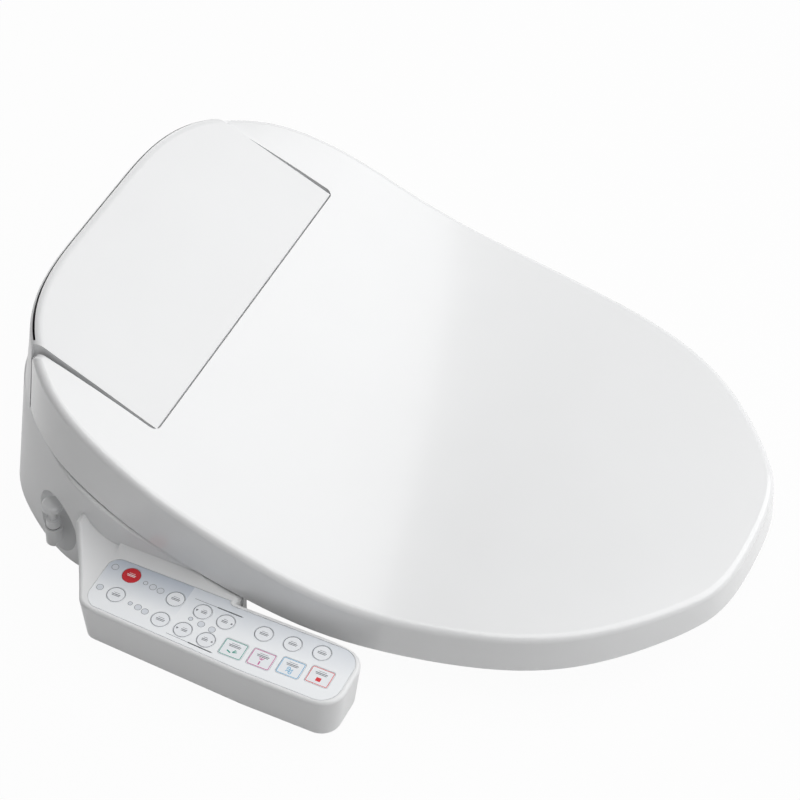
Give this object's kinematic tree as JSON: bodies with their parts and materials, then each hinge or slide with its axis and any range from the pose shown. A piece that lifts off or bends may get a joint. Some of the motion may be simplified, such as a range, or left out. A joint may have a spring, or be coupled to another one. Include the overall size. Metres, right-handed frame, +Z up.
{
  "type": "electric bidet seat",
  "caption": "Electric bidet toilet seat: domed white lid and heated seat on rear hinges, side control arm with keys, extending wash nozzles, warm air dryer.",
  "frame": {"origin": "middle of the two bowl bolts, in the plane of the bowl rim", "axes": "+Z up, +Y to the rear (the tank side), the control arm on -X"},
  "size_m": [0.4527, 0.5334, 0.1615],
  "materials": {
    "lid_white": "gloss",
    "cover_white": "satin",
    "base_white": "satin",
    "seat_white": "gloss",
    "rubber_grey": "matte",
    "steel": "brushed",
    "dark_plastic": "matte",
    "plate_plastic": "matte",
    "panel_silver": "satin",
    "key_white": "satin",
    "key_red": "satin",
    "light_amber": "gloss",
    "board_green": "matte",
    "copper_foil": "foil",
    "brass": "machined",
    "valve_black": "matte",
    "hose_clear": "satin",
    "nozzle_white": "satin"
  },
  "bodies": {
    "base": {"arm_lower_case": "base_white", "arm_screws": "steel", "arm_upper_case": "base_white", "base_tray": "base_white", "control_board": "board_green", "cord_gland": "rubber_grey", "cover_screws": "steel", "diverter_valve": "dark_plastic", "drain_sleeve": "dark_plastic", "dryer_duct": "dark_plastic", "dryer_motor": "steel", "dryer_scroll": "dark_plastic", "indicator_lights": "light_amber", "inlet_fitting": "brass", "inlet_strainer": "steel", "inner_hoses": "hose_clear", "keypad_mat": "rubber_grey", "mounting_plate": "plate_plastic", "nozzle_cradle": "dark_plastic", "nozzle_motors": "steel", "panel_board": "board_green", "panel_overlay": "panel_silver", "power_transformer": "valve_black", "rear_cover": "cover_white", "seat_dampers": "dark_plastic", "solenoid_valve": "valve_black", "tank_heater": "valve_black", "water_tank": "dark_plastic"},
    "seat": {"seat_top": "seat_white", "seat_bottom": "seat_white", "seat_heater": "copper_foil", "seat_bumpers": "rubber_grey", "seat_hinge_pins": "steel", "seat_hinge_leaves": "steel"},
    "lid": {"lid_shell": "lid_white", "lid_bumpers": "rubber_grey"},
    "rear_nozzle": {"rear_wash_nozzle": "nozzle_white"},
    "front_nozzle": {"front_wash_nozzle": "nozzle_white"},
    "rear_pinion": {"rear_nozzle_pinion": "nozzle_white"},
    "front_pinion": {"front_nozzle_pinion": "nozzle_white"},
    "fan": {"dryer_impeller": "dark_plastic"},
    "flap": {"dryer_flap": "nozzle_white"},
    "drain": {"drain_plug": "base_white"},
    "button": {"release_button": "base_white"},
    "clean_key_cap": {"clean_key": "key_white"},
    "dry_key_cap": {"dry_key": "key_white"},
    "eco_key_cap": {"eco_key": "key_white"},
    "front_wash_key_cap": {"front_wash_key": "key_white"},
    "massage_key_cap": {"massage_key": "key_white"},
    "position_back_key_cap": {"position_back_key": "key_white"},
    "position_front_key_cap": {"position_front_key": "key_white"},
    "power_key_cap": {"power_key": "key_red"},
    "pressure_down_key_cap": {"pressure_down_key": "key_white"},
    "pressure_up_key_cap": {"pressure_up_key": "key_white"},
    "rear_wash_key_cap": {"rear_wash_key": "key_white"},
    "seat_heat_key_cap": {"seat_heat_key": "key_white"},
    "stop_key_cap": {"stop_key": "key_white"},
    "sweep_key_cap": {"sweep_key": "key_white"},
    "water_heat_key_cap": {"water_heat_key": "key_white"}
  },
  "joints": [
    {"name": "seat_hinge", "type": "hinge", "parent": "base", "child": "seat", "pos_m": [0, 0.024, 0.1335], "axis": [1, 0, 0], "range_deg": [-96, 0]},
    {"name": "lid_hinge", "type": "hinge", "parent": "seat", "child": "lid", "pos_m": [0, 0.024, 0.1335], "axis": [-1, 0, 0], "range_deg": [0, 105]},
    {"name": "rear_nozzle_slide", "type": "slide", "parent": "base", "child": "rear_nozzle", "axis": [0, -0.9511, -0.309], "range_m": [0, 0.09]},
    {"name": "rear_pinion_spin", "type": "hinge", "parent": "base", "child": "rear_pinion", "pos_m": [0.013, -0.03221, 0.05921], "axis": [-1, 0, 0], "range_deg": [0, 860]},
    {"name": "front_nozzle_slide", "type": "slide", "parent": "base", "child": "front_nozzle", "axis": [0, -0.9511, -0.309], "range_m": [0, 0.09]},
    {"name": "front_pinion_spin", "type": "hinge", "parent": "base", "child": "front_pinion", "pos_m": [-0.013, -0.03221, 0.05921], "axis": [-1, 0, 0], "range_deg": [0, 860]},
    {"name": "fan_spin", "type": "hinge", "parent": "base", "child": "fan", "pos_m": [-0.084, -0.002, 0.02], "axis": [0, 0, 1], "continuous": true},
    {"name": "flap_hinge", "type": "hinge", "parent": "base", "child": "flap", "pos_m": [-0.0965, -0.0547, 0.0416], "axis": [-1, 0, 0], "range_deg": [0, 75]},
    {"name": "drain_slide", "type": "slide", "parent": "base", "child": "drain", "axis": [0, 0, 1], "range_m": [0, 0.004]},
    {"name": "button_slide", "type": "slide", "parent": "base", "child": "button", "axis": [-1, 0, 0], "range_m": [0, 0.003], "stiffness_N_per_m": 800},
    {"name": "clean_key_press", "type": "slide", "parent": "base", "child": "clean_key_cap", "axis": [0, 0, -1], "range_m": [0, 0.0005], "stiffness_N_per_m": 500},
    {"name": "dry_key_press", "type": "slide", "parent": "base", "child": "dry_key_cap", "axis": [0, 0, -1], "range_m": [0, 0.0005], "stiffness_N_per_m": 500},
    {"name": "eco_key_press", "type": "slide", "parent": "base", "child": "eco_key_cap", "axis": [0, 0, -1], "range_m": [0, 0.0005], "stiffness_N_per_m": 500},
    {"name": "front_wash_key_press", "type": "slide", "parent": "base", "child": "front_wash_key_cap", "axis": [0, 0, -1], "range_m": [0, 0.0005], "stiffness_N_per_m": 500},
    {"name": "massage_key_press", "type": "slide", "parent": "base", "child": "massage_key_cap", "axis": [0, 0, -1], "range_m": [0, 0.0005], "stiffness_N_per_m": 500},
    {"name": "position_back_key_press", "type": "slide", "parent": "base", "child": "position_back_key_cap", "axis": [0, 0, -1], "range_m": [0, 0.0005], "stiffness_N_per_m": 500},
    {"name": "position_front_key_press", "type": "slide", "parent": "base", "child": "position_front_key_cap", "axis": [0, 0, -1], "range_m": [0, 0.0005], "stiffness_N_per_m": 500},
    {"name": "power_key_press", "type": "slide", "parent": "base", "child": "power_key_cap", "axis": [0, 0, -1], "range_m": [0, 0.0005], "stiffness_N_per_m": 500},
    {"name": "pressure_down_key_press", "type": "slide", "parent": "base", "child": "pressure_down_key_cap", "axis": [0, 0, -1], "range_m": [0, 0.0005], "stiffness_N_per_m": 500},
    {"name": "pressure_up_key_press", "type": "slide", "parent": "base", "child": "pressure_up_key_cap", "axis": [0, 0, -1], "range_m": [0, 0.0005], "stiffness_N_per_m": 500},
    {"name": "rear_wash_key_press", "type": "slide", "parent": "base", "child": "rear_wash_key_cap", "axis": [0, 0, -1], "range_m": [0, 0.0005], "stiffness_N_per_m": 500},
    {"name": "seat_heat_key_press", "type": "slide", "parent": "base", "child": "seat_heat_key_cap", "axis": [0, 0, -1], "range_m": [0, 0.0005], "stiffness_N_per_m": 500},
    {"name": "stop_key_press", "type": "slide", "parent": "base", "child": "stop_key_cap", "axis": [0, 0, -1], "range_m": [0, 0.0005], "stiffness_N_per_m": 500},
    {"name": "sweep_key_press", "type": "slide", "parent": "base", "child": "sweep_key_cap", "axis": [0, 0, -1], "range_m": [0, 0.0005], "stiffness_N_per_m": 500},
    {"name": "water_heat_key_press", "type": "slide", "parent": "base", "child": "water_heat_key_cap", "axis": [0, 0, -1], "range_m": [0, 0.0005], "stiffness_N_per_m": 500}
  ],
  "couplings": [
    {"joint": "rear_pinion_spin", "follows": "rear_nozzle_slide", "rad_per_m": 166.67},
    {"joint": "front_pinion_spin", "follows": "front_nozzle_slide", "rad_per_m": 166.67}
  ]
}
